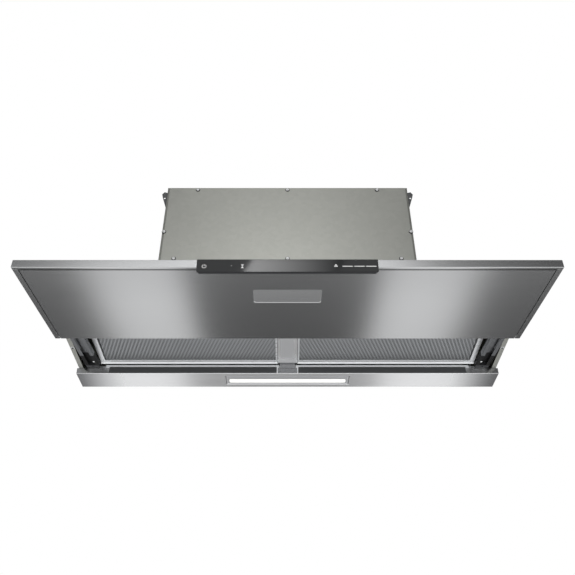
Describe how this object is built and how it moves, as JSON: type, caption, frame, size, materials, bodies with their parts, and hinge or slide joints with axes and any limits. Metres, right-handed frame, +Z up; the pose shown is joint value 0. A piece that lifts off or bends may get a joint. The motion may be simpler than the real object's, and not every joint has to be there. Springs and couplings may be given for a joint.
{
  "type": "pull out range hood",
  "caption": "Slimline range hood for a wall cabinet: a glass-fronted screen on slides draws out from under a low steel casing with hinged grease filters, a lamp strip and a motor box.",
  "frame": {"origin": "centre line of the wall face, level with the underside of the screen", "axes": "+Z up, +Y into the wall, +X to the right seen from the front; the screen draws out along -Y"},
  "size_m": [0.895, 0.4392, 0.4316],
  "materials": {
    "zinc_sheet": "hot-dip zinc coated sheet, dull, faint spangle",
    "plated_screw": "zinc plated",
    "black_steel": "black, satin",
    "black_moulding": "moulded, fine grain",
    "flap_moulding": "moulded, satin",
    "bright_steel": "ground bright",
    "blower_moulding": "moulded, glass filled",
    "wheel_moulding": "moulded",
    "motor_casting": "cast",
    "case_moulding": "moulded, pale grey",
    "circuit_board": "lacquered laminate",
    "stainless_sheet": "stainless, brushed along its length",
    "lamp_bezel": "satin",
    "lamp_diffuser": "opal, frosted",
    "filter_aluminium": "rolled, satin",
    "filter_mesh": "expanded mesh in layers",
    "slide_steel": "zinc plated, oiled",
    "control_glass": "black backed, polished"
  },
  "bodies": {
    "casing": {"roof_panel": "zinc_sheet", "back_wall": "zinc_sheet", "casing_front": "zinc_sheet", "side_wall_left": "zinc_sheet", "side_wall_right": "zinc_sheet", "front_crossbar": "zinc_sheet", "box_wrap": "zinc_sheet", "box_top": "zinc_sheet", "box_apron": "zinc_sheet", "front_cover": "zinc_sheet", "cover_screws": "plated_screw", "hanging_ear_left": "black_steel", "hanging_ear_right": "black_steel", "cabinet_bracket_left": "zinc_sheet", "cabinet_bracket_right": "zinc_sheet", "duct_collar": "black_moulding", "flap_pin": "bright_steel", "scroll_shell_left": "blower_moulding", "scroll_shell_right": "blower_moulding", "inlet_rings": "black_moulding", "motor": "motor_casting", "motor_spider": "zinc_sheet", "electronics_tray": "case_moulding", "electronics_lid": "case_moulding", "main_board": "circuit_board", "capacitor": "case_moulding", "cable_gland": "black_moulding", "lamp_strip": "stainless_sheet", "strip_rail": "black_steel", "lamp_bezel": "lamp_bezel", "lamp_diffuser": "lamp_diffuser", "led_board": "circuit_board", "divider": "zinc_sheet", "divider_plate": "zinc_sheet", "slide_carriers": "black_steel", "slide_outer_left": "slide_steel", "slide_outer_right": "slide_steel", "slide_end_blocks": "black_moulding"},
    "screen": {"screen_top": "stainless_sheet", "screen_frame": "stainless_sheet", "screen_panel": "stainless_sheet", "finger_recess": "stainless_sheet", "front_strip": "stainless_sheet", "control_glass": "control_glass", "control_housing": "black_moulding", "control_board": "circuit_board", "slide_inner_left": "slide_steel", "slide_inner_right": "slide_steel"},
    "slide_middle_left": {"slide_middle_left": "slide_steel"},
    "slide_middle_right": {"slide_middle_right": "slide_steel"},
    "filter_left": {"filter_frame_left": "filter_aluminium", "filter_mesh_left": "filter_mesh"},
    "filter_right": {"filter_frame_right": "filter_aluminium", "filter_mesh_right": "filter_mesh"},
    "latch_left": {"filter_latch_left": "black_moulding"},
    "latch_right": {"filter_latch_right": "black_moulding"},
    "flap_front": {"flap_front": "flap_moulding"},
    "flap_rear": {"flap_rear": "flap_moulding"},
    "fan": {"fan_wheel": "wheel_moulding", "motor_shaft": "bright_steel"}
  },
  "joints": [
    {"name": "screen_slide", "type": "slide", "parent": "casing", "child": "screen", "axis": [0, 1, 0], "range_m": [0, 0.145]},
    {"name": "slide_middle_left_run", "type": "slide", "parent": "casing", "child": "slide_middle_left", "axis": [0, 1, 0], "range_m": [0, 0.0725]},
    {"name": "slide_middle_right_run", "type": "slide", "parent": "casing", "child": "slide_middle_right", "axis": [0, 1, 0], "range_m": [0, 0.0725]},
    {"name": "filter_left_hinge", "type": "hinge", "parent": "casing", "child": "filter_left", "pos_m": [-0.20875, -0.06037, 0.02391], "axis": [-1, 0, 0], "range_deg": [-75, 0]},
    {"name": "latch_left_slide", "type": "slide", "parent": "filter_left", "child": "latch_left", "axis": [0, 0.9914, -0.1305], "range_m": [0, 0.004], "stiffness_N_per_m": 300, "springref_m": -0.003},
    {"name": "filter_right_hinge", "type": "hinge", "parent": "casing", "child": "filter_right", "pos_m": [0.20875, -0.06037, 0.02391], "axis": [-1, 0, 0], "range_deg": [-75, 0]},
    {"name": "latch_right_slide", "type": "slide", "parent": "filter_right", "child": "latch_right", "axis": [0, 0.9914, -0.1305], "range_m": [0, 0.004], "stiffness_N_per_m": 300, "springref_m": -0.003},
    {"name": "flap_front_hinge", "type": "hinge", "parent": "casing", "child": "flap_front", "pos_m": [0, -0.08, 0.399], "axis": [-1, 0, 0], "range_deg": [0, 75]},
    {"name": "flap_rear_hinge", "type": "hinge", "parent": "casing", "child": "flap_rear", "pos_m": [0, -0.08, 0.399], "axis": [1, 0, 0], "range_deg": [0, 75]},
    {"name": "fan_spin", "type": "hinge", "parent": "casing", "child": "fan", "pos_m": [0, -0.096, 0.19], "axis": [1, 0, 0], "continuous": true}
  ],
  "couplings": [
    {"joint": "slide_middle_left_run", "follows": "screen_slide", "ratio": 0.5},
    {"joint": "slide_middle_right_run", "follows": "screen_slide", "ratio": 0.5}
  ]
}
